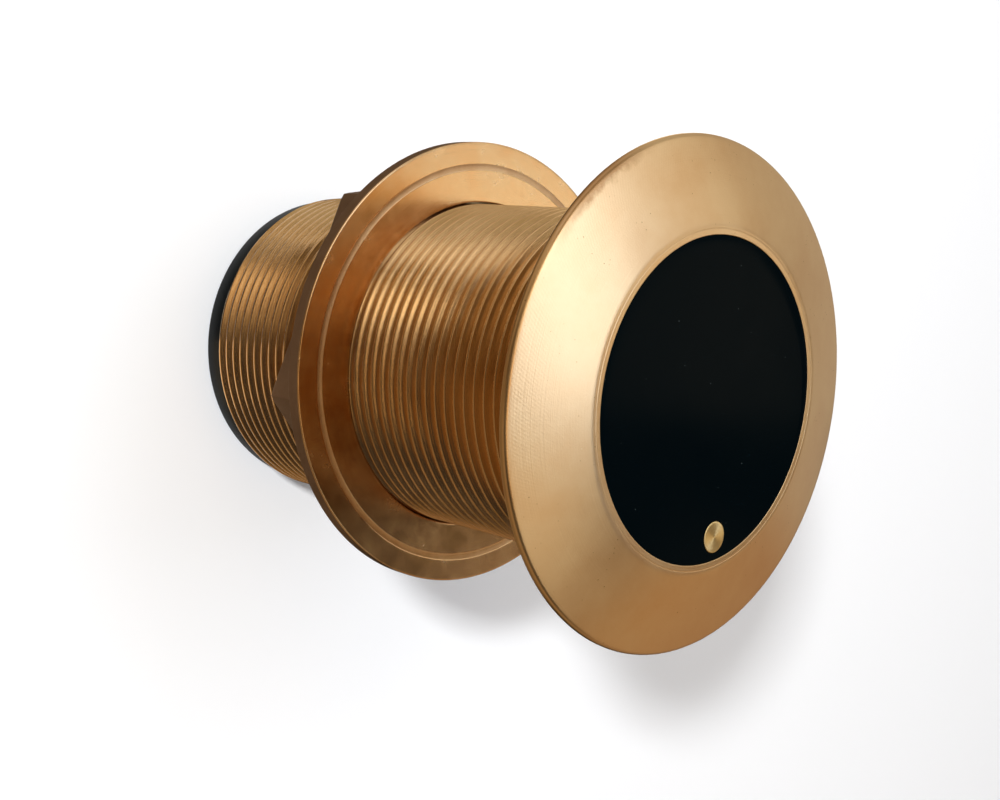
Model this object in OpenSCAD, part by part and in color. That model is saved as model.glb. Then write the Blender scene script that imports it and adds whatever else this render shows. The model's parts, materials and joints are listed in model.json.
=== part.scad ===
// Through-hull sonar transducer: a domed bronze flange on a threaded stem,
// clamped through a hull by its nut, with the sounding element potted inside.
// +Z runs along the stem to the sounding face, the origin is the centre of
// the rear end, and +X points to the temperature button.

/* [Stem thread] */
// Diameter over the crests of the stem's thread
thread_d = 59.6; // [57.5:0.1:65]
// Threads to the inch along the stem
threads_per_inch = 11; // [9:1:16]
// Plain neck between the thread and the flange
neck_l = 3; // [2:0.1:8]
// Fillet between the neck and the flange
neck_fillet = 1; // [0.4:0.1:1.8]

/* [Housing] */
// Length of the stem from its rear end to the flange
stem_l = 90.9; // [80:0.1:130]
// Wall of the stem between the thread's root and the bore
wall_t = 3.8; // [3:0.05:4.6]
// Diameter of the domed flange
flange_d = 84.8; // [76:0.1:105]
// Thickness of the flange at its face
flange_t = 5.7; // [5:0.1:7.5]
// Radius of the flange's rounded rim
rim_round = 0.85; // [0.5:0.05:1.2]
// Width of the flat land round the window
land_w = 1.6; // [0.8:0.1:3]
// Width of the ledge under the window's edge
ledge_w = 1.65; // [1.2:0.05:2.4]
// Slope of the dome where it leaves the land, in degrees
dome_start = 14; // [5:0.5:15]

/* [Acoustic face] */
// Thickness of the acoustic window
window_t = 3.4; // [3:0.1:4]
// Diameter of the temperature button's head
button_d = 5.3; // [4.2:0.1:6]
// Thickness of the button's head
button_t = 1.4; // [0.8:0.1:2]
// Wall of the button's shank round its blind hole
shank_wall = 0.6; // [0.4:0.05:0.8]
// Distance from the button's edge to the window's edge
button_edge = 1.25; // [0.7:0.05:2]

/* [Hull nut] */
// Gap between the flange and the nut, where the hull is clamped
grip = 49.4; // [6:0.1:60]
// Reach of the nut's flange past its corners
nut_reach = 2.4; // [1:0.1:6]
// Thickness of the nut's flange
nut_flange_t = 2.8; // [1.8:0.1:4]
// Chamfer on the edges of the nut's flange
nut_chamfer = 0.4; // [0.2:0.05:0.8]
// Height of the whole nut
nut_h = 11.9; // [8:0.1:18]
// Wall of the nut from its bore to its flats
nut_wall = 3.35; // [2.8:0.05:8]
// Clearance of the nut over the thread's crests
nut_clear = 0.3; // [0.2:0.05:0.6]
// Chamfer at the front mouth of the nut's bore
nut_mouth = 1.1; // [0.6:0.1:2]
// Chamfer at the rear mouth of the nut's bore
nut_rear_mouth = 0.8; // [0.4:0.1:1.2]
// Distance of the groove in the nut's face from the edge of its flange
groove_inset = 4.5; // [2:0.1:6]
// Width of the groove in the nut's face
groove_w = 1.6; // [0.8:0.1:2.4]
// Depth of the groove in the nut's face
groove_depth = 0.4; // [0.2:0.05:0.8]
// Turn of the nut's first corner from the button, in degrees
nut_turn = 30.2; // [0:0.1:60]

/* [Rear end] */
// Step from the thread's crests in to the rear cap's edge
cap_inset = 0.9; // [0.1:0.05:1.6]
// Thickness of the rear cap behind the stem
cap_t = 5.6; // [3.4:0.1:9]
// Radius of the rear cap's rounded edge
cap_round = 1.5; // [0.6:0.1:2.4]
// Length of the rear cap's spigot in the bore
spigot_l = 6; // [4:0.5:12]
// Bore of the cable bush
cable_d = 8.2; // [5:0.1:12]
// Wall of the cable bush
bush_wall = 2.9; // [2.4:0.1:5]
// Wall of the bush's nose, where the cap's lip holds it
nose_wall = 1.3; // [0.8:0.1:1.6]
// Thickness of the lip that holds the cable bush
lip_t = 1.4; // [1:0.1:2]
// Depth of the bush's nose behind the rear face
nose_recess = 0.4; // [0.2:0.1:0.8]
// Depth of the cable's seat in the resin
seat_l = 12; // [6:0.5:20]

/* [Sounding element] */
// Thickness of the decoupling strip round the piezo disc
strip_t = 3.9; // [2.4:0.1:5]
// Thickness of the piezo disc
piezo_t = 10; // [6:0.1:12]
// Thickness of the soft backing disc
backing_t = 4; // [2:0.1:8]
// Gap between the two ends of the decoupling strip
strip_gap = 4; // [3:0.1:8]
// Diameter of the signal leads
lead_d = 0.9; // [0.6:0.05:1.2]
// Distance of the rear lead from the edge of the piezo disc
rear_lead_inset = 2.5; // [1:0.1:3]

/* [Temperature sensor] */
// Diameter and height of the sensing bead
bead_d = 1.8; // [1.7:0.1:2.2]
// Room round the bead in the button's blind hole
bead_room = 0.2; // [0.1:0.05:0.3]
// Diameter of the bead's leads
bead_lead_d = 0.5; // [0.3:0.05:0.6]
// Distance between the bead's leads
bead_lead_pitch = 1.2; // [1:0.05:1.3]
// Bend radius of the bead's leads
bend_r = 1.5; // [1:0.1:2]
// Sideways step of the bead's leads, from the button's axis in to the board
lead_step = 4.3; // [4:0.1:6]

/* [Electronics] */
// Depth of resin between the backing and the board
front_fill = 16; // [14:0.5:24]
// Thickness of the terminal board
board_t = 1.6; // [1:0.1:2.4]
// Outer diameter of the transformer's core
core_d = 20; // [18:0.1:22]
// Hole in the transformer's core
core_hole_d = 10; // [9:0.1:12]
// Height of the transformer's core
core_t = 7; // [4:0.1:8]
// Turns of wire on the core
turn_count = 24; // [12:1:26]
// Thickness of the winding wire
wire_d = 0.8; // [0.5:0.05:0.9]
// Terminal pins under the board
pin_count = 5; // [3:1:7]
// Diameter of a terminal pin
pin_d = 1.2; // [0.8:0.1:1.6]
// Length of a terminal pin under the board
pin_l = 6; // [4:0.5:10]
// Distance of the terminal pins from the board's edge
pin_inset = 7; // [4:0.1:9]
// Angle between two terminal pins, in degrees
pin_step = 16; // [12:1:20]
// Length of the identity resistor, twice its width
resistor_l = 3.2; // [2:0.1:5]
// Height of the identity resistor
resistor_t = 0.6; // [0.4:0.1:1]
// Distance of the identity resistor from the board's edge
resistor_inset = 10; // [6:0.1:12]

/* [Fits] */
// Gap where a piece is cast, bonded or pressed into another
joint_gap = 0.05; // [0.02:0.01:0.1]
// Room round the transformer in the resin
pocket_gap = 0.3; // [0.2:0.05:0.5]

/* [Hidden] */
$fn = 96;

// Thread form: wide flat crests and narrow roots, as shares of the pitch, and
// flanks at half the thread's angle
inch = 25.4;
pitch = inch / threads_per_inch;
crest_share = 0.4;
root_share = 0.15;
flank_angle = 55 / 2;
crest_w = crest_share * pitch;
flank_w = (1 - crest_share - root_share) * pitch / 2;
crest_r = thread_d / 2;
root_r = crest_r - flank_w / tan(flank_angle);
ridge_count = floor((stem_l - neck_l) / pitch);

// Heights from the rear end
stem_z = cap_t;
spigot_z = stem_z + spigot_l;
under_z = stem_z + stem_l;
face_z = under_z + flange_t;
window_z = face_z - window_t;
piezo_z = window_z - piezo_t;
backing_z = piezo_z - backing_t;
board_top_z = backing_z - front_fill;
board_z = board_top_z - board_t;
nut_z = under_z - grip;
bead_z = window_z + bead_room;
core_z = board_top_z + wire_d + joint_gap;

// Radii and places across the bore
bore_r = root_r - wall_t;
fill_r = bore_r - joint_gap;
window_r = bore_r + ledge_w;
land_r = window_r + land_w;
piezo_r = fill_r - strip_t - joint_gap;
button_x = window_r - button_edge - button_d / 2;
button_hole_d = bead_d + 2 * bead_room;
button_hole_t = bead_d + 2 * bead_room;
shank_d = button_hole_d + 2 * shank_wall;
bead_pad_x = button_x - lead_step;
front_lead_r = piezo_r + joint_gap + lead_d / 2;
rear_lead_r = piezo_r - rear_lead_inset;
pin_r = fill_r - pin_inset;
resistor_r = fill_r - resistor_inset;
cable_r = cable_d / 2;
bush_r = cable_r + bush_wall;
nose_r = cable_r + nose_wall;
nut_bore_r = crest_r + nut_clear;
nut_corner_r = (nut_bore_r + nut_wall) / cos(30);
nut_flange_r = nut_corner_r + nut_reach;
groove_r = nut_flange_r - groove_inset;
groove_round = (groove_w * groove_w / 4 + groove_depth * groove_depth) / (2 * groove_depth);
pocket_r = core_d / 2 + wire_d + joint_gap + pocket_gap;
pocket_t = core_t + 2 * wire_d + 2 * joint_gap + pocket_gap;

// The dome is one arc: it leaves the land at dome_start and runs into the rim's
// round, whose centre is at rim_c
land_edge = [land_r, face_z];
rim_c = [flange_d / 2 - rim_round, under_z + rim_round];
dome_normal = [sin(dome_start), cos(dome_start)];
across = rim_c - land_edge;
dome_r = (across * across - rim_round * rim_round) / (-2 * (across * dome_normal + rim_round));
dome_c = land_edge - dome_r * dome_normal;
rim_out = rim_c + 2 * rim_round * (rim_c - dome_c) / norm(rim_c - dome_c);

bronze = "#b98a52";
black = "#15151a";
brass = "#c9a75e";
resin = "#3a3530";
copper = "#b5652f";

// One ridge of the thread: up the flank, along the crest and down again
function ridge(z) = [
    [root_r, z],
    [crest_r, z + flank_w],
    [crest_r, z + flank_w + crest_w],
    [root_r, z + 2 * flank_w + crest_w]
];

// Half section of the threaded stem
module stem_section() {
    ridges = [for (i = [0 : ridge_count - 1]) each ridge(stem_z + i * pitch)];
    polygon(concat(
        [[bore_r, stem_z]],
        ridges,
        [
            [root_r, under_z - neck_fillet],
            [root_r + neck_fillet, under_z],
            [bore_r, under_z]
        ]
    ));
}

// Half section of the flange: flat land, domed face and rounded rim
module flange_section() {
    intersection() {
        translate(dome_c) circle(r = dome_r);
        polygon([
            [bore_r, under_z],
            [rim_c.x, under_z],
            rim_c,
            rim_out,
            [rim_out.x, face_z],
            [bore_r, face_z]
        ]);
    }
    translate(rim_c) circle(r = rim_round);
}

// Cast and turned in one piece, bored through and recessed for the window
module housing() {
    color(bronze) rotate_extrude() difference() {
        union() {
            stem_section();
            flange_section();
        }
        translate([0, window_z]) square([window_r, window_t + flange_t]);
    }
}

// Everything turned out of the nut: its bore with both mouths, and the groove
module nut_cut_section() {
    rear_z = nut_z - nut_h;
    polygon([
        [0, rear_z],
        [nut_bore_r + nut_rear_mouth, rear_z],
        [nut_bore_r, rear_z + nut_rear_mouth],
        [nut_bore_r, nut_z - nut_mouth],
        [nut_bore_r + nut_mouth, nut_z],
        [0, nut_z]
    ]);
    translate([groove_r, nut_z + groove_round - groove_depth]) circle(r = groove_round);
}

// Hexagon with a round flange against the hull
module hull_nut() {
    color(bronze) difference() {
        union() {
            rotate_extrude() polygon([
                [0, nut_z - nut_flange_t],
                [nut_flange_r - nut_chamfer, nut_z - nut_flange_t],
                [nut_flange_r, nut_z - nut_flange_t + nut_chamfer],
                [nut_flange_r, nut_z - nut_chamfer],
                [nut_flange_r - nut_chamfer, nut_z],
                [0, nut_z]
            ]);
            translate([0, 0, nut_z - nut_h]) rotate(nut_turn)
                cylinder(r = nut_corner_r, h = nut_h - nut_flange_t / 2, $fn = 6);
        }
        rotate_extrude() nut_cut_section();
    }
}

// The button's outline, grown by room on every side but its ends
module button_form(room) {
    translate([button_x, 0, window_z]) cylinder(d = shank_d + 2 * room, h = window_t);
    translate([button_x, 0, face_z - button_t]) cylinder(d = button_d + 2 * room, h = button_t);
}

// Cast disc, flush with the land, holding the button
module acoustic_window() {
    color(black) difference() {
        translate([0, 0, window_z]) cylinder(r = window_r - joint_gap, h = window_t);
        button_form(joint_gap);
    }
}

// Turned plug with a blind hole behind it for the sensing bead
module temperature_button() {
    color(brass) difference() {
        button_form(0);
        translate([button_x, 0, window_z]) cylinder(d = button_hole_d, h = button_hole_t);
    }
}

// Sensing bead at the bottom of the button's blind hole, with a domed end
module temperature_bead() {
    color("saddlebrown") translate([button_x, 0, bead_z]) intersection() {
        cylinder(d = bead_d, h = bead_d);
        sphere(r = bead_d);
    }
}

// A lead that runs down the bore's wall, bends in towards the axis and runs
// down again to the board
module bent_lead(d) {
    bend_z = backing_z - bend_r;
    cross_z = bend_z - bend_r;
    low_z = cross_z - bend_r;
    translate([button_x, 0, bend_z]) cylinder(d = d, h = bead_z - bend_z);
    translate([button_x - bend_r, 0, bend_z]) rotate([90, 0, 0]) rotate(270)
        rotate_extrude(angle = 90) translate([bend_r, 0]) circle(d = d);
    translate([bead_pad_x + bend_r, 0, cross_z]) rotate([0, 90, 0])
        cylinder(d = d, h = button_x - bead_pad_x - 2 * bend_r);
    translate([bead_pad_x + bend_r, 0, low_z]) rotate([90, 0, 0]) rotate(90)
        rotate_extrude(angle = 90) translate([bend_r, 0]) circle(d = d);
    translate([bead_pad_x, 0, board_z]) cylinder(d = d, h = low_z - board_z);
}

// The bead's two leads, side by side
module temperature_leads(d = bead_lead_d) {
    color("firebrick") for (side = [-1, 1])
        translate([0, side * bead_lead_pitch / 2, 0]) bent_lead(d);
}

// Sounding ceramic, bonded to the back of the window
module piezo_disc() {
    color("lightgrey") translate([0, 0, piezo_z]) cylinder(r = piezo_r, h = piezo_t);
}

// Way for the temperature leads past the ceramic and its backing
module lead_way(z, h) {
    translate([piezo_r, -strip_gap / 2, z]) cube([bore_r, strip_gap, h]);
}

// Cork-rubber strip wrapped round the ceramic, with a notch for the front lead
module decoupling_sleeve() {
    color("peru") difference() {
        translate([0, 0, piezo_z]) cylinder(r = fill_r, h = piezo_t);
        translate([0, 0, piezo_z]) cylinder(r = piezo_r + joint_gap, h = piezo_t);
        translate([0, front_lead_r, piezo_z]) cylinder(d = lead_d + 2 * joint_gap, h = piezo_t);
        lead_way(piezo_z, piezo_t);
    }
}

// Soft disc behind the ceramic, cut away and drilled for the leads
module backing_disc() {
    color("dimgrey") difference() {
        translate([0, 0, backing_z]) cylinder(r = fill_r, h = backing_t);
        lead_way(backing_z, backing_t);
        front_lead(lead_d + 2 * joint_gap);
        rear_lead(lead_d + 2 * joint_gap);
    }
}

// Lead from the front electrode, down the side of the ceramic to the board
module front_lead(d = lead_d) {
    color("red") translate([0, front_lead_r, board_z]) cylinder(d = d, h = window_z - board_z);
}

// Lead from the rear electrode to the board
module rear_lead(d = lead_d) {
    color("black") translate([-rear_lead_r, 0, board_z]) cylinder(d = d, h = piezo_z - board_z);
}

// All the leads that cross the resin and the board, grown by the joint gap
module lead_holes() {
    temperature_leads(bead_lead_d + 2 * joint_gap);
    front_lead(lead_d + 2 * joint_gap);
    rear_lead(lead_d + 2 * joint_gap);
}

// Resin poured over the board and the transformer, up to the backing
module front_potting() {
    color(resin) difference() {
        translate([0, 0, board_top_z]) cylinder(r = fill_r, h = front_fill);
        translate([0, 0, board_top_z]) cylinder(r = pocket_r, h = pocket_t);
        lead_holes();
    }
}

// Round board that the leads and pins are soldered to
module terminal_board() {
    color("darkgreen") difference() {
        translate([0, 0, board_z]) cylinder(r = fill_r, h = board_t);
        lead_holes();
        terminal_pins(pin_d + 2 * joint_gap);
    }
}

// Ferrite ring of the matching transformer
module transformer_core() {
    color("slategrey") translate([0, 0, core_z]) difference() {
        cylinder(d = core_d, h = core_t);
        cylinder(d = core_hole_d, h = core_t);
    }
}

// One turn of wire round the section of the core
module winding_turn() {
    inner_x = core_hole_d / 2 - joint_gap;
    outer_x = core_d / 2 + joint_gap;
    height = core_t + 2 * joint_gap;
    translate([0, wire_d / 2, core_z - joint_gap]) rotate([90, 0, 0])
        linear_extrude(wire_d) difference() {
            translate([inner_x - wire_d, -wire_d])
                square([outer_x - inner_x + 2 * wire_d, height + 2 * wire_d]);
            translate([inner_x, 0]) square([outer_x - inner_x, height]);
        }
}

// The turns stand round the core and rest on the board
module transformer_winding() {
    color(copper) for (i = [0 : turn_count - 1])
        rotate(i * 360 / turn_count) winding_turn();
}

// Resistor that tells the display which element it drives
module identity_resistor(room = 0) {
    length = resistor_l + 2 * room;
    width = resistor_l / 2 + 2 * room;
    color("midnightblue") translate([resistor_r - length / 2, -width / 2, board_z - resistor_t - room])
        cube([length, width, resistor_t + room]);
}

// Pins for the cores of a cable, on an arc at the edge of the board
module terminal_pins(d = pin_d, extra = 0) {
    first = -90 - (pin_count - 1) / 2 * pin_step;
    color(brass) for (i = [0 : pin_count - 1]) rotate(first + i * pin_step)
        translate([pin_r, 0, board_z - pin_l - extra]) cylinder(d = d, h = pin_l + extra + board_t);
}

// Resin from the board down to the cap, with a seat for the end of a cable
module rear_potting() {
    color(resin) difference() {
        translate([0, 0, spigot_z]) cylinder(r = fill_r, h = board_z - spigot_z);
        translate([0, 0, spigot_z]) cylinder(r = cable_r, h = seat_l);
        terminal_pins(pin_d + 2 * joint_gap, joint_gap);
        identity_resistor(joint_gap);
    }
}

// Half section of the rear cap: rounded disc, spigot and lipped inlet
module cap_section() {
    cap_r = crest_r - cap_inset;
    hole_r = bush_r + joint_gap;
    lip_r = nose_r + joint_gap;
    translate([lip_r, 0]) square([cap_r - cap_round - lip_r, lip_t]);
    translate([hole_r, 0]) square([cap_r - cap_round - hole_r, cap_t]);
    translate([hole_r, cap_round]) square([cap_r - hole_r, cap_t - cap_round]);
    translate([hole_r, 0]) square([fill_r - hole_r, spigot_z]);
    translate([cap_r - cap_round, cap_round]) circle(r = cap_round);
}

// Moulded cap, pressed into the stem's rear end
module rear_cap() {
    color(black) rotate_extrude() cap_section();
}

// Rubber bush that a cable passes through, held by the cap's lip
module cable_bush() {
    color("#26262a") rotate_extrude() polygon([
        [cable_r, nose_recess],
        [nose_r, nose_recess],
        [nose_r, lip_t],
        [bush_r, lip_t],
        [bush_r, spigot_z],
        [cable_r, spigot_z]
    ]);
}

housing();
hull_nut();
acoustic_window();
temperature_button();
temperature_bead();
temperature_leads();
piezo_disc();
decoupling_sleeve();
backing_disc();
front_lead();
rear_lead();
front_potting();
terminal_board();
transformer_core();
transformer_winding();
identity_resistor();
terminal_pins();
rear_potting();
rear_cap();
cable_bush();
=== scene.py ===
"""A bronze through-hull sonar transducer, standing on its rear cap in a pale studio.

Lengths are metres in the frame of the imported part: +Z runs along the stem to
the sounding face, and +X points to the temperature button.
"""
import json

import bmesh
import bpy
import numpy as np
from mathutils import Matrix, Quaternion, Vector


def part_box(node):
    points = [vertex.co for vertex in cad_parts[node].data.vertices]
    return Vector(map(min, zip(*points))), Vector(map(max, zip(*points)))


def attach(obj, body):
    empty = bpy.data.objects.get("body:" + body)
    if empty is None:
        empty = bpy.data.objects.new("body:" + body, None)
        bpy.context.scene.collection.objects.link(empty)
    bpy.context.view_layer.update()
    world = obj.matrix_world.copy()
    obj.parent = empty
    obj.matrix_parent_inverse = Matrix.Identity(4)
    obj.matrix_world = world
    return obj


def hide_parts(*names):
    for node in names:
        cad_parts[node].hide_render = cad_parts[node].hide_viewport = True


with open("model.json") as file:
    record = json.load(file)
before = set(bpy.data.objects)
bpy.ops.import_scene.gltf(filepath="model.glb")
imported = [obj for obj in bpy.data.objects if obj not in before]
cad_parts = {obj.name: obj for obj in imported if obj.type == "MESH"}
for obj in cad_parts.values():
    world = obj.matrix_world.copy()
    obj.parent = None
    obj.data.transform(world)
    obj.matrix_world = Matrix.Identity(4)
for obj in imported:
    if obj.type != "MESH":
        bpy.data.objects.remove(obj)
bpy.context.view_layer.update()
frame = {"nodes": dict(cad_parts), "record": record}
collection = bpy.context.scene.collection
MM = 0.001


# Camera: a short tele lens looks down on the standing part. It is rolled nearly
# onto its side, so that the stem runs from left to right across the picture.
camera_place = Vector((-53.40, -179.87, 242.74)) * MM
camera_aim = Vector((5.45, -1.80, 54.87)) * MM
camera_roll = np.radians(100.24)
camera_data = bpy.data.cameras.new("camera")
camera_data.lens = 52.16
camera_data.clip_start = 10 * MM
camera = bpy.data.objects.new("camera", camera_data)
camera.location = camera_place
camera.rotation_mode = "QUATERNION"
upright = (camera_aim - camera_place).to_track_quat("-Z", "Y")
camera.rotation_quaternion = upright @ Quaternion((0, 0, 1), camera_roll)
collection.objects.link(camera)
bpy.context.scene.camera = camera


# Housing: a mushroom-headed bronze casting, turned all over. Its stem carries a
# two-inch pipe thread, and its domed flange holds the sounding face.
mounts = {mount["name"]: mount for mount in frame["record"]["mounts"]}
housing_low, housing_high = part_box("housing")
rim_r = housing_high.x
face_z = housing_high.z
stem_z = housing_low.z
under_z = mounts["hull_seat"]["pos_m"][2]
crest_r = mounts["stem_thread"]["dims"]["r_mm"] * MM
pitch = 25.4 / 11 * MM
thread_depth = 1.35 * MM
root_r = crest_r - thread_depth
neck_l = 3.0 * MM
neck_fillet = 1.0 * MM
rim_round = 0.85 * MM
stem_wall = 4.8 * MM
stem_bore_r = crest_r - stem_wall
seat_gap = 0.05 * MM
window_seat_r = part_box("acoustic_window")[1].y + seat_gap
window_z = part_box("acoustic_window")[0].z
land_w = 1.6 * MM
land_r = window_seat_r + land_w
dome_start = np.radians(14)
ROUND = 168


def lathe(section, columns=ROUND, centre=(0.0, 0.0)):
    """Carry a half section, rows of (radius, height), once round the upright line through centre."""
    angle = np.linspace(0, 2 * np.pi, columns + 1)
    radius, height = np.asarray(section).T[:, :, None]
    x = centre[0] + radius * np.cos(angle)
    y = centre[1] + radius * np.sin(angle)
    return np.stack(np.broadcast_arrays(x, y, height), axis=-1)


def arc(centre, radius, start, end, steps):
    """Points of a half section on a circle, from one angle to the other, in degrees from outwards to up."""
    angle = np.radians(np.linspace(start, end, steps + 1))
    return np.stack([centre[0] + radius * np.cos(angle), centre[1] + radius * np.sin(angle)], axis=-1)


def skin(name, grid, sharp=40, finish=None):
    """Close a grid of points to a mesh: a face between each four neighbours, and equal points merged.

    The map "turned" runs once round the piece in u and over its section in v.
    finish gives each band of the grid its material's number.
    """
    rows, columns = grid.shape[:2]
    index = np.arange(rows * columns).reshape(rows, columns)
    corners = [index[:-1, :-1], index[:-1, 1:], index[1:, 1:], index[1:, :-1]]
    faces = np.stack(corners, axis=-1).reshape(-1, 4)
    mesh = bpy.data.meshes.new(name)
    mesh.from_pydata(grid.reshape(-1, 3).tolist(), [], faces.tolist())
    across, along = np.meshgrid(np.linspace(0, 1, columns), np.linspace(0, 1, rows))
    turned = np.stack([across, along], axis=-1).reshape(-1, 2)
    mesh.uv_layers.new(name="turned").data.foreach_set("uv", turned[faces.ravel()].ravel())
    if finish is not None:
        mesh.polygons.foreach_set("material_index", np.repeat(finish, columns - 1).astype(np.int32))
    shell = bmesh.new()
    shell.from_mesh(mesh)
    bmesh.ops.remove_doubles(shell, verts=shell.verts, dist=2e-7)
    bmesh.ops.recalc_face_normals(shell, faces=shell.faces)
    shell.to_mesh(mesh)
    shell.free()
    mesh.shade_smooth()
    mesh.set_sharp_from_angle(angle=np.radians(sharp))
    piece = bpy.data.objects.new(name, mesh)
    collection.objects.link(piece)
    return piece


def thread_rows():
    """Rows of the stem's thread, each a helix, so that every ridge keeps its form all the way round.

    A ridge is a narrow crest with straight flanks, and two rows close together
    round each of its edges. Where it starts, and its flanks and edges, are parts of
    a turn. Rows past the ends of the thread are held there, the first ridge is cut
    low by the chamfer of the stem's end, and the thread runs out at the neck.
    """
    start = 0.136
    flank_start, flank_end, edge = 0.065, 0.425, 0.03
    chamfer_l, chamfer_lift = 0.8 * MM, 0.3
    run_out_l = 1.5 * pitch
    rise = np.array([flank_start, flank_start + edge, flank_end - edge, flank_end])
    phases = np.concatenate([[0], rise, [0.5], 1 - rise[::-1]])
    end_z = under_z - neck_l
    count = int(np.ceil((end_z - stem_z) / pitch)) + 2
    angle = np.linspace(0, 2 * np.pi, ROUND + 1)
    turn = (np.arange(-2, count)[:, None] + phases).reshape(-1, 1) + start
    height = np.clip(stem_z + pitch * (turn + angle / (2 * np.pi)), stem_z, end_z)
    phase = ((height - stem_z) / pitch - angle / (2 * np.pi) - start) % 1
    ridge = np.clip((0.5 - flank_start - np.abs(phase - 0.5)) / (flank_end - flank_start), 0, 1)
    chamfer = np.clip((height - stem_z) / chamfer_l + chamfer_lift, 0, 1)
    run_out = np.clip((end_z - height) / run_out_l, 0, 1)
    lift = np.minimum(ridge, chamfer) * run_out
    radius = root_r + (crest_r - root_r) * lift
    return np.stack([radius * np.cos(angle), radius * np.sin(angle), height], axis=-1)


def flange_section():
    """Half section of the flange, from the neck round the rim and over the dome to the window's seat.

    The dome is one arc. It leaves the land at dome_start and touches the rim's round,
    which sets its radius. A short bend, the curve of two tangents, leads from it to the
    flat land, and a hairline marks where the land begins.
    """
    rim = np.array([rim_r - rim_round, under_z + rim_round])
    land = np.array([land_r, face_z])
    normal = np.array([np.sin(dome_start), np.cos(dome_start)])
    gap = rim - land
    dome_r = (gap @ gap - rim_round ** 2) / (-2 * (gap @ normal + rim_round))
    dome = land - dome_r * normal
    rim_angle = np.degrees(np.arctan2(*(rim - dome)[::-1]))
    line_r, line_in, line_up = 0.05 * MM, 0.1 * MM, 0.035 * MM
    break_r, blend_w = 0.08 * MM, 0.5 * MM
    leave_angle = np.arcsin(np.sin(dome_start) + blend_w / dome_r)
    leave = dome + dome_r * np.array([np.sin(leave_angle), np.cos(leave_angle)])
    corner = np.array([leave[0] - (face_z - leave[1]) / np.tan(leave_angle), face_z])
    flat = 2 * corner[0] - leave[0]
    part = np.linspace(0, 1, 7)[:, None]
    blend = (1 - part) ** 2 * leave + 2 * part * (1 - part) * corner + part ** 2 * np.array([flat, face_z])
    return np.concatenate([
        arc((root_r + neck_fillet, under_z - neck_fillet), neck_fillet, 180, 90, 6),
        np.linspace((root_r + 2 * MM, under_z), (rim[0] - 1 * MM, under_z), 4),
        arc(rim, rim_round, -90, rim_angle, 10),
        arc(dome, dome_r, rim_angle, 90 - np.degrees(leave_angle), 28)[1:],
        blend[1:],
        arc((flat - line_in, face_z + line_up), line_r, -45, -135, 4),
        np.linspace((flat - 3 * line_in, face_z), (window_seat_r + 2 * break_r, face_z), 3),
        arc((window_seat_r + break_r, face_z - break_r), break_r, 90, 180, 3),
        [(window_seat_r, window_z), (stem_bore_r, window_z), (stem_bore_r, stem_z)],
    ])


thread = thread_rows()
housing_grid = np.concatenate([thread, lathe(flange_section()), thread[:1]])
housing_finish = np.where(np.arange(len(housing_grid) - 1) < len(thread), 1, 0)
housing = skin("housing_turned", housing_grid, sharp=75, finish=housing_finish)


def linear(code):
    """Linear colour of an sRGB hex value: a straight line near black, and a power of 2.4 above it."""
    value = np.array([int(code[i:i + 2], 16) for i in (1, 3, 5)]) / 255
    value = np.where(value <= 0.04045, value / 12.92, ((value + 0.055) / 1.055) ** 2.4)
    return (*value, 1.0)


def add(tree, kind, settings, inputs):
    """Add a node with its settings, and give each named input a value or the output that feeds it."""
    new = tree.nodes.new("ShaderNode" + kind)
    for key, value in settings.items():
        setattr(new, key, value)
    for key, value in inputs.items():
        if isinstance(value, bpy.types.NodeSocket):
            tree.links.new(value, new.inputs[key])
        else:
            new.inputs[key].default_value = value
    return new


def surface(name):
    """Start a material: its node tree, its main shader and the place on the piece in metres."""
    material = bpy.data.materials.new(name)
    material.use_nodes = True
    tree = material.node_tree
    place = add(tree, "TexCoord", {}, {}).outputs["Object"]
    return material, tree, tree.nodes["Principled BSDF"], place


def spots(tree, place, spacing_mm, full, none, spread):
    """How much a place lies in a spot: spots stand spacing_mm apart, in patches, and fade from full to none.

    full and none are radii in parts of the spacing, and the higher spread is, the fewer the patches are.
    """
    cell = add(tree, "TexVoronoi", {}, {"Vector": place, "Scale": 1 / (spacing_mm * MM), "Randomness": 1.0})
    spot = add(tree, "MapRange", {}, {"Value": cell.outputs["Distance"], "From Min": full, "From Max": none,
                                      "To Min": 1.0, "To Max": 0.0})
    patch = add(tree, "TexNoise", {}, {"Vector": place, "Scale": 1 / (7 * MM), "Detail": 2.0})
    where = add(tree, "MapRange", {}, {"Value": patch.outputs["Fac"], "From Min": spread,
                                       "From Max": spread + 0.1})
    return add(tree, "Math", {"operation": "MULTIPLY"}, {0: spot.outputs[0], 1: where.outputs[0]}).outputs[0]


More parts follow.
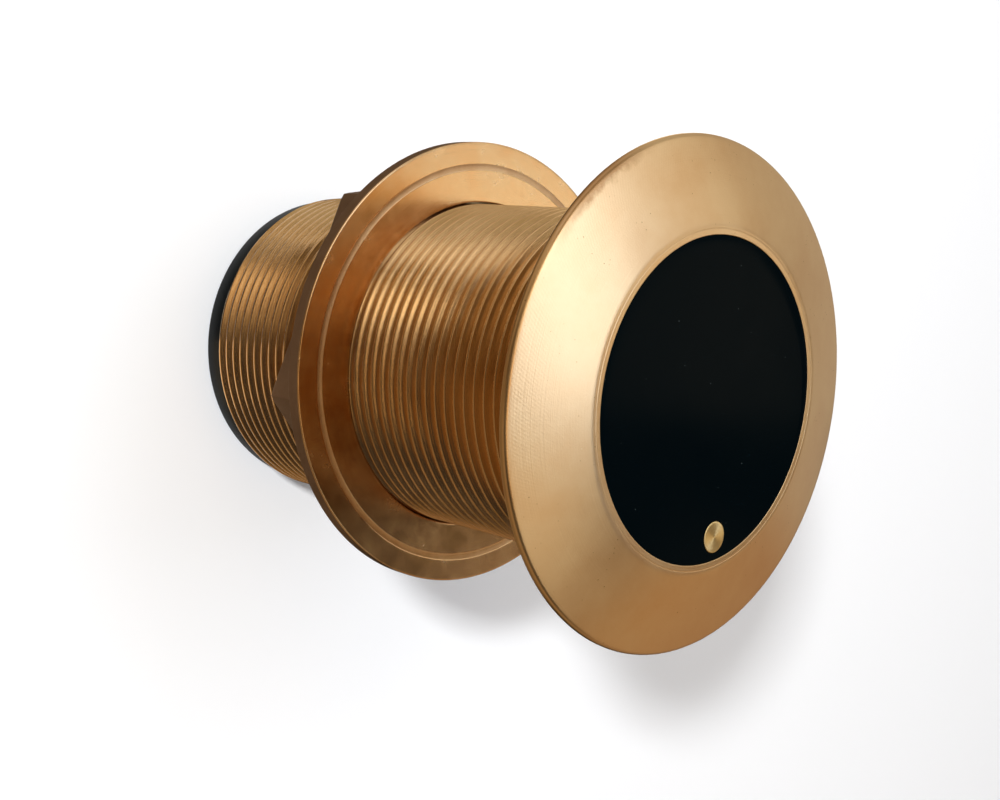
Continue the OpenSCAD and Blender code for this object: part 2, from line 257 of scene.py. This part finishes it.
def turned_bronze(name, dull, bright, cloud_mm, smoothest, roughest, drawn, pitted):
    """Cast bronze turned on a lathe: a satin metal whose fine rings draw its gloss out across them.

    Oxide tints it in soft clouds of cloud_mm, small pores of the casting show as
    dark specks, and nicks from handling catch the light: the higher pitted is, the
    fewer they are. Rings and grit are drawn coarser than real ones, so that they show.
    """
    material, tree, shader, place = surface(name)
    grit = 0.3 * MM
    shader.inputs["Metallic"].default_value = 1.0
    shader.inputs["Anisotropic"].default_value = drawn
    tangent = add(tree, "Tangent", {"direction_type": "UV_MAP", "uv_map": "turned"}, {})
    tree.links.new(tangent.outputs[0], shader.inputs["Tangent"])
    flat = add(tree, "VectorMath", {"operation": "MULTIPLY"}, {0: place, 1: (1, 1, 0)})
    radius = add(tree, "VectorMath", {"operation": "LENGTH"}, {0: flat.outputs[0]}).outputs["Value"]
    cloud = add(tree, "TexNoise", {}, {"Vector": place, "Scale": 1 / (cloud_mm * MM), "Detail": 5.0,
                                       "Roughness": 0.62})
    tint = add(tree, "ValToRGB", {}, {"Fac": cloud.outputs["Fac"]})
    tint.color_ramp.elements[0].position = 0.34
    tint.color_ramp.elements[0].color = linear(dull)
    tint.color_ramp.elements[1].position = 0.66
    tint.color_ramp.elements[1].color = linear(bright)
    pores = spots(tree, place, 1.1, 0.03, 0.11, pitted)
    pored = add(tree, "Mix", {"data_type": "RGBA"}, {"Factor": pores, 6: tint.outputs["Color"],
                                                     7: linear("#7d5730")})
    nicks = spots(tree, place, 3.6, 0.01, 0.045, pitted + 0.06)
    nicked = add(tree, "Mix", {"data_type": "RGBA"}, {"Factor": nicks, 6: pored.outputs[2],
                                                      7: linear("#eedcbc")})
    colour = nicked.outputs[2]
    ring = add(tree, "TexNoise", {"noise_dimensions": "1D"}, {"W": radius, "Scale": 1 / grit, "Detail": 2.0})
    grain = add(tree, "TexNoise", {}, {"Vector": place, "Scale": 1 / grit, "Detail": 2.0, "Roughness": 0.7})
    gloss = add(tree, "MapRange", {}, {"Value": cloud.outputs["Fac"], "From Min": 0.3, "From Max": 0.7,
                                       "To Min": smoothest, "To Max": roughest})
    tree.links.new(gloss.outputs[0], shader.inputs["Roughness"])
    relief = add(tree, "Math", {"operation": "MULTIPLY_ADD"}, {0: grain.outputs["Fac"], 1: 1.2,
                                                               2: ring.outputs["Fac"]})
    bump = add(tree, "Bump", {}, {"Height": relief.outputs[0], "Distance": 0.01 * MM, "Strength": 1.0})
    tree.links.new(colour, shader.inputs["Base Color"])
    tree.links.new(bump.outputs[0], shader.inputs["Normal"])
    return material, tree, shader, place, radius, colour


def faced_bronze():
    """Turned bronze of the flange: worn brown along its rim on one side, where it was gripped.

    Chatter of the tool leaves a fine slanting hatch in its outer part.
    """
    worn_azimuth, worn_full, worn_end = np.radians(-151), 0.1, 0.32
    worn_w, worn_fade, wear = 2.8 * MM, 0.5 * MM, 0.7
    hatch_lines, hatch_w, hatch_depth = 420.0, 0.9 * MM, 0.14
    finish = turned_bronze("faced_bronze", "#d8b68b", "#dfc298", 11, 0.29, 0.34, 0.35, 0.5)
    material, tree, shader, place, radius, colour = finish
    part = add(tree, "SeparateXYZ", {}, {"Vector": place})
    turn = add(tree, "Math", {"operation": "ARCTAN2"}, {0: part.outputs["Y"], 1: part.outputs["X"]})
    angle = turn.outputs[0]
    ragged = add(tree, "TexNoise", {}, {"Vector": place, "Scale": 1 / (2.2 * MM), "Detail": 5.0,
                                        "Roughness": 0.7})
    worn_r = add(tree, "Math", {"operation": "MULTIPLY_ADD"}, {0: ragged.outputs["Fac"], 1: worn_w,
                                                               2: radius})
    side = add(tree, "Math", {"operation": "ADD"}, {0: angle, 1: -worn_azimuth})
    away = add(tree, "Math", {"operation": "ABSOLUTE"}, {0: side.outputs[0]})
    gripped = add(tree, "MapRange", {}, {"Value": away.outputs[0], "From Min": worn_full,
                                         "From Max": worn_end, "To Min": 1.0, "To Max": 0.0})
    edge = add(tree, "MapRange", {}, {"Value": worn_r.outputs[0], "From Min": rim_r - worn_fade,
                                      "From Max": rim_r + worn_fade})
    worn = add(tree, "Math", {"operation": "MULTIPLY"}, {0: edge.outputs[0], 1: gripped.outputs[0]})
    much = add(tree, "Math", {"operation": "MULTIPLY"}, {0: worn.outputs[0], 1: wear})
    brown = add(tree, "Mix", {"data_type": "RGBA"}, {"Factor": much.outputs[0], 6: colour,
                                                     7: linear("#94683a")})
    tree.links.new(brown.outputs[2], shader.inputs["Base Color"])
    turns = add(tree, "Math", {"operation": "MULTIPLY"}, {0: angle, 1: hatch_lines})
    slant = add(tree, "Math", {"operation": "MULTIPLY_ADD"}, {0: radius, 1: 2 * np.pi / hatch_w,
                                                              2: turns.outputs[0]})
    hatch = add(tree, "Math", {"operation": "SINE"}, {0: slant.outputs[0]})
    outer = add(tree, "MapRange", {}, {"Value": radius, "From Min": rim_r - 9 * MM,
                                       "From Max": rim_r - 2 * MM, "To Min": 0.0, "To Max": hatch_depth})
    chatter = add(tree, "Math", {"operation": "MULTIPLY"}, {0: hatch.outputs[0], 1: outer.outputs[0]})
    relief = shader.inputs["Normal"].links[0].from_node
    under = relief.inputs["Height"].links[0].from_socket
    total = add(tree, "Math", {"operation": "ADD"}, {0: under, 1: chatter.outputs[0]})
    tree.links.new(total.outputs[0], relief.inputs["Height"])
    return material


housing.data.materials.append(faced_bronze())
threaded_bronze = turned_bronze("threaded_bronze", "#d8b485", "#e0be92", 9, 0.2, 0.27, 0.35, 0.56)
housing.data.materials.append(threaded_bronze[0])
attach(housing, "transducer")
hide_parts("housing")


# Hull nut: a cast bronze hexagon with a round flange. Only the flange's front is
# turned, with a groove for sealant in it. The rim and hexagon behind it are painted
# a dark brown, painted shade that stands in for the shadow they lie in.
nut_low, nut_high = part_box("hull_nut")
nut_front_z, nut_rear_z = nut_high.z, nut_low.z
nut_rim_r = nut_high.y
nut_gap, nut_wall = 0.3 * MM, 3.35 * MM
nut_bore_r = crest_r + nut_gap
nut_flats_r = nut_bore_r + nut_wall
nut_turn = np.radians(30.2)
nut_flange_t = 2.8 * MM
nut_edge = 0.25 * MM
groove_in = 4.5 * MM
groove_r = nut_rim_r - groove_in
groove_round = 1.6 * MM
groove_depth = 0.1 * MM
hex_edge = 0.5 * MM
mouth_round, rear_chamfer = 0.2 * MM, 0.8 * MM


def nut_grid():
    """The nut's section carried round, where its hexagon reaches as far as its six flats let it.

    The hexagon's reach is a power mean of the reaches of its flats, which rounds its corners.
    A row beside each curve keeps the flat face flat, and a short foot joins the hexagon to the flange.
    """
    beside = 0.2 * MM
    foot_w, foot_h = 0.8 * MM, 0.3 * MM
    columns = 6 * 40
    angle = np.linspace(0, 2 * np.pi, columns + 1)
    flats = nut_turn + np.radians(30 + 60 * np.arange(6))
    facing = np.clip(np.cos(angle - flats[:, None]), 0, None) / nut_flats_r
    sharpness = 200
    hexagon = np.sum(facing ** sharpness, axis=0) ** (-1 / sharpness)
    back_z = nut_front_z - nut_flange_t
    groove = arc((groove_r, nut_front_z + groove_round - groove_depth), groove_round, 249.5, 290.5, 8)
    front = np.concatenate([
        [(nut_bore_r, nut_rear_z + rear_chamfer), (nut_bore_r, nut_front_z - 3 * mouth_round)],
        arc((nut_bore_r + mouth_round, nut_front_z - mouth_round), mouth_round, 180, 90, 4),
        [(nut_bore_r + 2.5 * mouth_round, nut_front_z), groove[0] - (beside, 0)],
        groove,
        [groove[-1] + (beside, 0), (nut_rim_r - nut_edge - beside, nut_front_z)],
        arc((nut_rim_r - nut_edge, nut_front_z - nut_edge), nut_edge, 90, 0, 5),
    ])
    rim = arc((nut_rim_r - nut_edge, back_z + nut_edge), nut_edge, 0, -90, 5)
    reach = np.concatenate([
        [(foot_w, back_z), (foot_w / 4, back_z - foot_h)],
        arc((-hex_edge, nut_rear_z + hex_edge), hex_edge, 0, -90, 4),
    ])
    rear = np.array([(nut_bore_r + rear_chamfer, nut_rear_z), (nut_bore_r, nut_rear_z + rear_chamfer)])
    hex_radius = hexagon + reach[:, :1]
    hex_height = np.broadcast_to(reach[:, 1:], hex_radius.shape)
    hex_rows = np.stack([hex_radius * np.cos(angle), hex_radius * np.sin(angle), hex_height], axis=-1)
    turned, shaded_rim = lathe(front, columns), lathe(rim, columns)
    grid = np.concatenate([turned, shaded_rim, hex_rows, lathe(rear, columns)])
    # The rim and hexagon take the second material, whose dark brown is painted shade.
    finish = np.where(np.arange(len(grid) - 1) < len(turned) - 1, 0, 1)
    return grid, finish


def clamping_bronze():
    """Turned bronze of the nut's front: as smooth as the housing, but matt in its undressed groove."""
    matt_full, matt_end = 0.4 * MM, 0.7 * MM
    finish = turned_bronze("clamping_bronze", "#d8b48a", "#e6c8a0", 5, 0.2, 0.28, 0.0, 0.56)
    material, tree, shader, _, radius, _ = finish
    off = add(tree, "Math", {"operation": "SUBTRACT"}, {0: radius, 1: groove_r})
    away = add(tree, "Math", {"operation": "ABSOLUTE"}, {0: off.outputs[0]})
    matt = add(tree, "MapRange", {}, {"Value": away.outputs[0], "From Min": matt_full, "From Max": matt_end,
                                      "To Min": 0.62, "To Max": 0.0})
    gloss = shader.inputs["Roughness"].links[0].from_socket
    dulled = add(tree, "Math", {"operation": "MAXIMUM"}, {0: gloss, 1: matt.outputs[0]})
    tree.links.new(dulled.outputs[0], shader.inputs["Roughness"])
    relief = shader.inputs["Normal"].links[0].from_node
    relief.inputs["Distance"].default_value = 0.006 * MM
    return material


def shade_painted_bronze():
    """Cast bronze of the nut's rim and hexagon: fine grain, little gloss, and a painted-shade dark brown."""
    material, tree, shader, place = surface("shade_painted_bronze")
    shader.inputs["Metallic"].default_value = 0.75
    grit = add(tree, "TexNoise", {}, {"Vector": place, "Scale": 1 / (0.5 * MM), "Detail": 4.0,
                                      "Roughness": 0.65})
    stain = add(tree, "TexNoise", {}, {"Vector": place, "Scale": 1 / (6 * MM), "Detail": 3.0})
    # Painted shade: these dark browns stand in for the shadow on the nut's rim and hexagon.
    colour = add(tree, "Mix", {"data_type": "RGBA"}, {"Factor": stain.outputs["Fac"], 6: linear("#5a4029"),
                                                      7: linear("#7d6148")})
    tree.links.new(colour.outputs[2], shader.inputs["Base Color"])
    gloss = add(tree, "MapRange", {}, {"Value": grit.outputs["Fac"], "To Min": 0.48, "To Max": 0.62})
    tree.links.new(gloss.outputs[0], shader.inputs["Roughness"])
    bump = add(tree, "Bump", {}, {"Height": grit.outputs["Fac"], "Distance": 0.05 * MM, "Strength": 0.6})
    tree.links.new(bump.outputs[0], shader.inputs["Normal"])
    return material


nut_points, nut_finish = nut_grid()
hull_nut = skin("hull_nut_cast", nut_points, finish=nut_finish)
hull_nut.data.materials.append(clamping_bronze())
hull_nut.data.materials.append(shade_painted_bronze())
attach(hull_nut, "nut")
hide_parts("hull_nut")


# Acoustic window: a disc of black urethane, cast into the flange's recess and
# polished flush with it. Sound passes through it, and the button is set in it.
window_low, window_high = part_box("acoustic_window")
button_low, button_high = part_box("temperature_button")
window_r = window_high.y
button_x = (button_low.x + button_high.x) / 2
button_r = (button_high.x - button_low.x) / 2
button_t = 1.4 * MM
shank_r = 1.7 * MM


def window_grid():
    """Circles that slide from the button's hole to the window's edge and back underneath.

    Each row has a centre, a radius and a height, so the rows between the
    off-centre hole and the edge share out the way between them.
    """
    hole_r, edge = button_r + seat_gap, 0.1 * MM
    step_z, top_z = face_z - button_t, window_high.z
    rows = np.concatenate([
        [(button_x, shank_r + seat_gap, window_low.z), (button_x, shank_r + seat_gap, step_z)],
        [(button_x, hole_r, step_z), (button_x, hole_r, top_z - edge)],
        np.linspace((button_x, hole_r + edge, top_z), (0, window_r - 2 * edge, top_z), 16),
        [(0, window_r - 0.3 * edge, top_z - 0.3 * edge), (0, window_r, top_z - edge)],
        [(0, window_r, window_low.z), (button_x, shank_r + seat_gap, window_low.z)],
    ])
    angle = np.linspace(0, 2 * np.pi, ROUND + 1)
    centre, radius, height = rows.T[:, :, None]
    points = (centre + radius * np.cos(angle), radius * np.sin(angle), height)
    return np.stack(np.broadcast_arrays(*points), axis=-1)


def polished_urethane():
    """Black cast urethane, polished: a deep gloss with a faint orange peel and a few specks of dust."""
    material, tree, shader, place = surface("polished_urethane")
    shader.inputs["IOR"].default_value = 1.5
    shader.inputs["Specular IOR Level"].default_value = 0.012
    dust = add(tree, "TexVoronoi", {}, {"Vector": place, "Scale": 1 / (3.2 * MM), "Randomness": 1.0})
    speck = add(tree, "MapRange", {}, {"Value": dust.outputs["Distance"], "From Min": 0.018, "From Max": 0.04,
                                       "To Min": 1.0, "To Max": 0.0})
    colour = add(tree, "Mix", {"data_type": "RGBA"}, {"Factor": speck.outputs[0], 6: linear("#02070a"),
                                                      7: linear("#3c4446")})
    tree.links.new(colour.outputs[2], shader.inputs["Base Color"])
    haze = add(tree, "TexNoise", {}, {"Vector": place, "Scale": 1 / (9 * MM), "Detail": 3.0})
    gloss = add(tree, "MapRange", {}, {"Value": haze.outputs["Fac"], "To Min": 0.08, "To Max": 0.2})
    tree.links.new(gloss.outputs[0], shader.inputs["Roughness"])
    bump = add(tree, "Bump", {}, {"Height": haze.outputs["Fac"], "Distance": 0.02 * MM, "Strength": 0.5})
    tree.links.new(bump.outputs[0], shader.inputs["Normal"])
    return material


acoustic_window = skin("acoustic_window_cast", window_grid())
acoustic_window.data.materials.append(polished_urethane())
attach(acoustic_window, "transducer")
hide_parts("acoustic_window")


# Temperature button: a small brass plug, faced off on a lathe and set flush in
# the window. A sensing bead sits in the blind hole behind it.
bead_hole_r = 1.1 * MM
bead_hole_z = button_low.z + 2.2 * MM
button_edge = 0.15 * MM
button_section = np.concatenate([
    [(0, bead_hole_z), (bead_hole_r, bead_hole_z), (bead_hole_r, button_low.z)],
    [(shank_r, button_low.z), (shank_r, face_z - button_t), (button_r, face_z - button_t)],
    arc((button_r - button_edge, button_high.z - button_edge), button_edge, 0, 90, 4),
    np.linspace((button_r * 0.8, button_high.z), (0, button_high.z), 6),
])


def turned_brass():
    """Yellow brass faced off on a lathe: bright rings that gather its gloss into a bow across the middle.

    The rings are drawn coarser than real ones, so that they show.
    """
    material, tree, shader, place = surface("turned_brass")
    shader.inputs["Metallic"].default_value = 1.0
    shader.inputs["Anisotropic"].default_value = 0.8
    tangent = add(tree, "Tangent", {"direction_type": "UV_MAP", "uv_map": "turned"}, {})
    tree.links.new(tangent.outputs[0], shader.inputs["Tangent"])
    centred = add(tree, "Mapping", {}, {"Vector": place, "Location": (-button_x, 0, -button_high.z)})
    radius = add(tree, "VectorMath", {"operation": "LENGTH"}, {0: centred.outputs[0]}).outputs["Value"]
    ring = add(tree, "TexNoise", {"noise_dimensions": "1D"}, {"W": radius, "Scale": 1 / (0.25 * MM),
                                                              "Detail": 2.0})
    colour = add(tree, "Mix", {"data_type": "RGBA"}, {"Factor": ring.outputs["Fac"], 6: linear("#dcc084"),
                                                      7: linear("#ecd6a0")})
    tree.links.new(colour.outputs[2], shader.inputs["Base Color"])
    gloss = add(tree, "MapRange", {}, {"Value": ring.outputs["Fac"], "To Min": 0.3, "To Max": 0.42})
    tree.links.new(gloss.outputs[0], shader.inputs["Roughness"])
    bump = add(tree, "Bump", {}, {"Height": ring.outputs["Fac"], "Distance": 0.004 * MM, "Strength": 1.0})
    tree.links.new(bump.outputs[0], shader.inputs["Normal"])
    return material


button_grid = lathe(button_section, 72, (button_x, 0.0))
temperature_button = skin("temperature_button_turned", button_grid)
temperature_button.data.materials.append(turned_brass())
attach(temperature_button, "transducer")
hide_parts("temperature_button")


# Rear cap: a black plastic moulding with a rounded edge. Its spigot is pressed
# into the stem's bore, and its lip holds the cable bush.
cap_low, cap_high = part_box("rear_cap")
bush_low, bush_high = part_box("cable_bush")
cap_r = cap_high.y
cap_round = 1.5 * MM
cap_edge = 0.15 * MM
spigot_r = stem_bore_r - seat_gap
bush_r = bush_high.y
bush_hole_r = bush_r + seat_gap
cable_r = mounts["cable_inlet"]["dims"]["r_mm"] * MM
nose_wall = 1.3 * MM
nose_r = cable_r + nose_wall
lip_r = nose_r + seat_gap
lip_t = 1.4 * MM
lip_round = 0.3 * MM
cap_section = np.concatenate([
    [(bush_hole_r, cap_high.z), (bush_hole_r, lip_t), (lip_r, lip_t)],
    arc((lip_r + lip_round, lip_round), lip_round, 180, 270, 4),
    np.linspace((lip_r + 1 * MM, 0), (cap_r - 2 * cap_round, 0), 3),
    arc((cap_r - cap_round, cap_round), cap_round, -90, 0, 8),
    arc((cap_r - cap_edge, stem_z - cap_edge), cap_edge, 0, 90, 2),
    [(spigot_r, stem_z), (spigot_r, cap_high.z), (bush_hole_r, cap_high.z)],
])


def moulded_nylon():
    """Black glass-filled nylon, moulded: a fine spark-worn grain that keeps a dull sheen."""
    material, tree, shader, place = surface("moulded_nylon")
    shader.inputs["IOR"].default_value = 1.52
    shader.inputs["Specular IOR Level"].default_value = 0.12
    grain = add(tree, "TexNoise", {}, {"Vector": place, "Scale": 1 / (0.35 * MM), "Detail": 3.0})
    colour = add(tree, "Mix", {"data_type": "RGBA"}, {"Factor": grain.outputs["Fac"], 6: linear("#040606"),
                                                      7: linear("#0b0e0f")})
    tree.links.new(colour.outputs[2], shader.inputs["Base Color"])
    gloss = add(tree, "MapRange", {}, {"Value": grain.outputs["Fac"], "To Min": 0.38, "To Max": 0.55})
    tree.links.new(gloss.outputs[0], shader.inputs["Roughness"])
    bump = add(tree, "Bump", {}, {"Height": grain.outputs["Fac"], "Distance": 0.02 * MM, "Strength": 0.6})
    tree.links.new(bump.outputs[0], shader.inputs["Normal"])
    return material


rear_cap = skin("rear_cap_moulded", lathe(cap_section))
rear_cap.data.materials.append(moulded_nylon())
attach(rear_cap, "transducer")
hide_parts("rear_cap")


# Cable bush: a soft rubber ring that a cable passes through. Its nose reaches
# through the cap's lip, and its shoulder rests on it.
bush_edge = 0.25 * MM
bush_section = np.concatenate([
    [(cable_r, bush_high.z)],
    arc((cable_r + bush_edge, bush_low.z + bush_edge), bush_edge, 180, 270, 4),
    arc((nose_r - bush_edge, bush_low.z + bush_edge), bush_edge, -90, 0, 4),
    [(nose_r, lip_t), (bush_r, lip_t), (bush_r, bush_high.z), (cable_r, bush_high.z)],
])


def nitrile_rubber():
    """Black nitrile rubber: matt, slightly grey, with the faint bloom that moulded rubber gets."""
    material, tree, shader, place = surface("nitrile_rubber")
    shader.inputs["IOR"].default_value = 1.5
    bloom = add(tree, "TexNoise", {}, {"Vector": place, "Scale": 1 / (1.2 * MM), "Detail": 4.0})
    colour = add(tree, "Mix", {"data_type": "RGBA"}, {"Factor": bloom.outputs["Fac"], 6: linear("#141516"),
                                                      7: linear("#26282a")})
    tree.links.new(colour.outputs[2], shader.inputs["Base Color"])
    gloss = add(tree, "MapRange", {}, {"Value": bloom.outputs["Fac"], "To Min": 0.62, "To Max": 0.8})
    tree.links.new(gloss.outputs[0], shader.inputs["Roughness"])
    return material


cable_bush = skin("cable_bush_moulded", lathe(bush_section, 96))
cable_bush.data.materials.append(nitrile_rubber())
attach(cable_bush, "transducer")
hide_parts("cable_bush")


# Inner pieces: what is sealed inside the stem keeps the solids of the part, each
# in the finish of its own material.
def inner_finish(name, light, dark, grain_mm, roughness, metallic=0.0):
    """A material with a mottled colour: grain_mm is the size of its grain, in millimetres."""
    material, tree, shader, place = surface(name)
    shader.inputs["Metallic"].default_value = metallic
    shader.inputs["Roughness"].default_value = roughness
    grain = add(tree, "TexNoise", {}, {"Vector": place, "Scale": 1 / (grain_mm * MM), "Detail": 4.0})
    colour = add(tree, "Mix", {"data_type": "RGBA"}, {"Factor": grain.outputs["Fac"], 6: linear(dark),
                                                      7: linear(light)})
    tree.links.new(colour.outputs[2], shader.inputs["Base Color"])
    bump = add(tree, "Bump", {}, {"Height": grain.outputs["Fac"], "Distance": 0.02 * MM, "Strength": 0.4})
    tree.links.new(bump.outputs[0], shader.inputs["Normal"])
    return material


potting = inner_finish("cast_epoxy", "#4a433b", "#332e29", 2.0, 0.35)
inner_pieces = {
    "temperature_bead": inner_finish("dipped_resin", "#9a6230", "#6f431f", 0.6, 0.3),
    "temperature_leads": inner_finish("enamel_red", "#b23a30", "#8c2a24", 0.4, 0.45),
    "piezo_disc": inner_finish("silvered_ceramic", "#dad9d4", "#bdbcb6", 0.8, 0.4),
    "decoupling_sleeve": inner_finish("cork_rubber", "#b98a55", "#7a5430", 1.5, 0.85),
    "backing_disc": inner_finish("foam_rubber", "#5c5c5c", "#3c3c3c", 0.7, 0.9),
    "front_lead": inner_finish("wire_red", "#c02a26", "#9c201d", 0.5, 0.45),
    "rear_lead": inner_finish("wire_black", "#2a2a2a", "#181818", 0.5, 0.45),
    "front_potting": potting,
    "terminal_board": inner_finish("glass_laminate", "#2f7a45", "#205a32", 0.9, 0.4),
    "transformer_core": inner_finish("sintered_ferrite", "#53545a", "#3b3c41", 0.6, 0.6),
    "transformer_winding": inner_finish("enamelled_copper", "#c9763c", "#a3582a", 0.5, 0.3, 1.0),
    "identity_resistor": inner_finish("glazed_chip", "#2b3350", "#1c2238", 0.4, 0.3),
    "terminal_pins": inner_finish("tinned_brass", "#d8d2c0", "#bdb59d", 0.3, 0.3, 1.0),
    "rear_potting": potting,
}
for name, finish in inner_pieces.items():
    solid = frame["nodes"][name]
    solid.data.materials.clear()
    solid.data.materials.append(finish)


# Studio: a white floor that runs up into a low round wall. It shows white to the
# eye and keeps the shadow of the part. Cards that only gloss sees lie and stand on it.
floor_z, floor_r, wall_r, wall_h, cove_r = -0.05 * MM, 1.5, 2.5, 1.1, 0.5
card_z, card_h = 0.4 * MM, 0.36
near, middle, past, pale, far = 0.031, 0.044, 0.14, 0.2, 0.6
mid_z = 0.05
sweep_section = np.concatenate([
    [(0, floor_z), (0.2, floor_z), (floor_r, floor_z)],
    arc((wall_r - cove_r, floor_z + cove_r), cove_r, -90, 0, 8),
    [(wall_r, wall_h)],
])
sweep = skin("sweep", lathe(sweep_section, 96))
sweep.data.flip_normals()


def white_sweep():
    """Matt white sweep: lit by the lamps, and lifted to white where the eye sees it.

    The lift is small round the part, to keep its shadow, and grows with the distance from it.
    """
    lift_start, lift_end = 0.4, 1.1
    material, tree, shader, place = surface("white_sweep")
    shader.inputs["Base Color"].default_value = linear("#e4e7ea")
    shader.inputs["Roughness"].default_value = 1.0
    shader.inputs["Specular IOR Level"].default_value = 0.0
    path = add(tree, "LightPath", {}, {})
    mirror = add(tree, "Math", {"operation": "ADD"}, {0: path.outputs["Is Glossy Ray"],
                                                      1: path.outputs["Is Transmission Ray"]})
    seen = add(tree, "Math", {"operation": "ADD"}, {0: path.outputs["Is Camera Ray"], 1: mirror.outputs[0]})
    away = add(tree, "VectorMath", {"operation": "LENGTH"}, {0: place}).outputs["Value"]
    white = add(tree, "MapRange", {}, {"Value": away, "From Min": lift_start, "From Max": lift_end,
                                       "To Min": 0.17, "To Max": 1.2})
    lift = add(tree, "Math", {"operation": "MULTIPLY"}, {0: seen.outputs[0], 1: white.outputs[0]})
    shader.inputs["Emission Color"].default_value = linear("#e6efff")
    tree.links.new(lift.outputs[0], shader.inputs["Emission Strength"])
    return material


sweep.data.materials.append(white_sweep())


def softbox(name, place, size, glow, colour, aim=(0, 0, mid_z)):
    """A soft lamp of size (width, height) that hangs at a place, faces its aim and glows evenly."""
    data = bpy.data.lights.new(name, "AREA")
    data.shape = "RECTANGLE"
    data.size, data.size_y = size
    data.energy = glow * np.pi * size[0] * size[1]
    data.color = linear(colour)[:3]
    lamp = bpy.data.objects.new(name, data)
    lamp.location = place
    lamp.rotation_mode = "QUATERNION"
    lamp.rotation_quaternion = (Vector(aim) - Vector(place)).to_track_quat("-Z", "Y")
    lamp.visible_camera = False
    collection.objects.link(lamp)
    return lamp


def gloss_card(name, radius, height, start, end, glow, colour):
    """A curved card from one azimuth to another, through rows of radius and height, that only gloss sees."""
    angle = np.radians(np.linspace(start, end, 25))
    radius, height = np.asarray(radius)[:, None], np.asarray(height)[:, None]
    points = np.broadcast_arrays(radius * np.cos(angle), radius * np.sin(angle), height)
    card = skin(name, np.stack(points, axis=-1))
    material, tree, shader, place = surface(name)
    shader.inputs["Base Color"].default_value = (0, 0, 0, 1)
    shader.inputs["Specular IOR Level"].default_value = 0.0
    shader.inputs["Emission Color"].default_value = linear(colour)
    shader.inputs["Emission Strength"].default_value = glow
    card.data.materials.append(material)
    card.visible_camera = card.visible_diffuse = card.visible_shadow = card.visible_transmission = False
    return card


def floor_card(name, start, end, inner, outer, glow, colour):
    """A card that lies on the floor round the part."""
    return gloss_card(name, np.linspace(inner, outer, 3), [card_z] * 3, start, end, glow, colour)


def standing_card(name, start, end, glow, colour):
    """A card that stands upright behind the floor's cards."""
    return gloss_card(name, [far] * 2, [card_z, card_h], start, end, glow, colour)


def round_part(azimuth, height):
    """The place one metre from the part, at an azimuth and a height in degrees."""
    turn, rise = np.radians((azimuth, height))
    return (np.cos(rise) * np.cos(turn), np.cos(rise) * np.sin(turn), mid_z + np.sin(rise))


# The key is cool and hangs flat overhead, behind the part. The other boxes are warm. The cards give each
# stretch of the turned metal something to mirror, and a small lamp that no gloss sees drops the shadow.
softbox("key", (-0.20, 0.28, 0.95), (0.72, 0.5), 2.7, "#e0ecff", (-0.20, 0.28, 0))
softbox("top_left", (-0.53, 0.13, 0.90), (0.32, 0.42), 1.35, "#fff6e8")
softbox("top_middle", (-0.35, -0.14, 0.95), (0.28, 0.34), 2.4, "#fff0d8", (-0.35, -0.14, 0))
softbox("top_front", (0.08, -0.23, 0.95), (0.5, 0.28), 1.4, "#ffd090", (0.08, -0.23, 0))
softbox("top_right", (0.50, 0.13, 0.95), (0.6, 0.38), 0.88, "#fff0d4", (0.50, 0.13, 0))
softbox("back", round_part(114, 41), (0.55, 0.44), 0.85, "#ffeed1")
softbox("back_middle", round_part(81, 44), (0.23, 0.30), 1.5, "#ffeccc")
softbox("back_right", round_part(42, 32), (0.70, 0.36), 0.56, "#ffd49e")
softbox("left", round_part(150, 33), (0.5, 0.35), 0.45, "#fff4d2")
softbox("front_left", round_part(190, 33), (0.6, 0.35), 0.6, "#ffdc98")
softbox("front", round_part(226, 48), (0.55, 0.35), 0.9, "#ffdcac")
floor_card("bright_near_card", 75, 140, near, middle, 0.7, "#ffe8b8")
floor_card("tan_near_card", 140, 172, near, middle, 0.45, "#fff0da")
floor_card("cream_near_card", 172, 206, near, middle, 1.0, "#fff0da")
floor_card("amber_near_card", 206, 228, near, middle, 0.35, "#ffe6c0")
floor_card("umber_near_card", 228, 260, near, middle, 0.02, "#ffd29a")
floor_card("brown_near_card", 260, 290, near, middle, 1.4, "#ffdfb4")
floor_card("dark_near_card", 290, 345, near, middle, 0.6, "#ffdfb4")
floor_card("black_near_card", 345, 435, near, middle, 0.02, "#ffd29a")
floor_card("bright_far_card", 75, 140, middle, pale, 1.3, "#ffe8b8")
floor_card("pale_far_card", 75, 140, pale, far, 0.5, "#ffe8c0")
floor_card("tan_far_card", 140, 200, middle, past, 0.18, "#ffe0b4")
floor_card("tan_rim_card", 140, 200, past, far, 0.6, "#ffe4bc")
floor_card("umber_far_card", 200, 240, middle, past, 0.1, "#ffd29a")
floor_card("umber_rim_card", 200, 240, past, far, 0.45, "#ffdcac")
floor_card("brown_far_card", 240, 345, middle, far, 0.24, "#ffd29a")
floor_card("black_far_card", 345, 435, middle, far, 0.02, "#ffd29a")
standing_card("right_card", 10, 62, 0.45, "#ffd2a4")
standing_card("middle_card", 62, 92, 0.53, "#ffeed6")
standing_card("back_card", 92, 160, 0.58, "#fff1da")
standing_card("left_card", 160, 200, 1.0, "#fff7f0")
standing_card("front_card", 200, 232, 0.45, "#ffe0b4")
standing_card("dark_card", 232, 262, 0.06, "#ffd29a")
standing_card("dim_card", 262, 370, 0.36, "#ffd29a")
drop = softbox("drop", (-0.68, -1.04, 0.89), (0.15, 0.15), 380.0, "#ffffff")
drop.visible_glossy = False

world = bpy.data.worlds.new("studio")
world.use_nodes = True
world.node_tree.nodes["Background"].inputs["Color"].default_value = linear("#ffe6cc")
world.node_tree.nodes["Background"].inputs["Strength"].default_value = 0.05
bpy.context.scene.world = world
bpy.context.scene.view_settings.view_transform = "Standard"
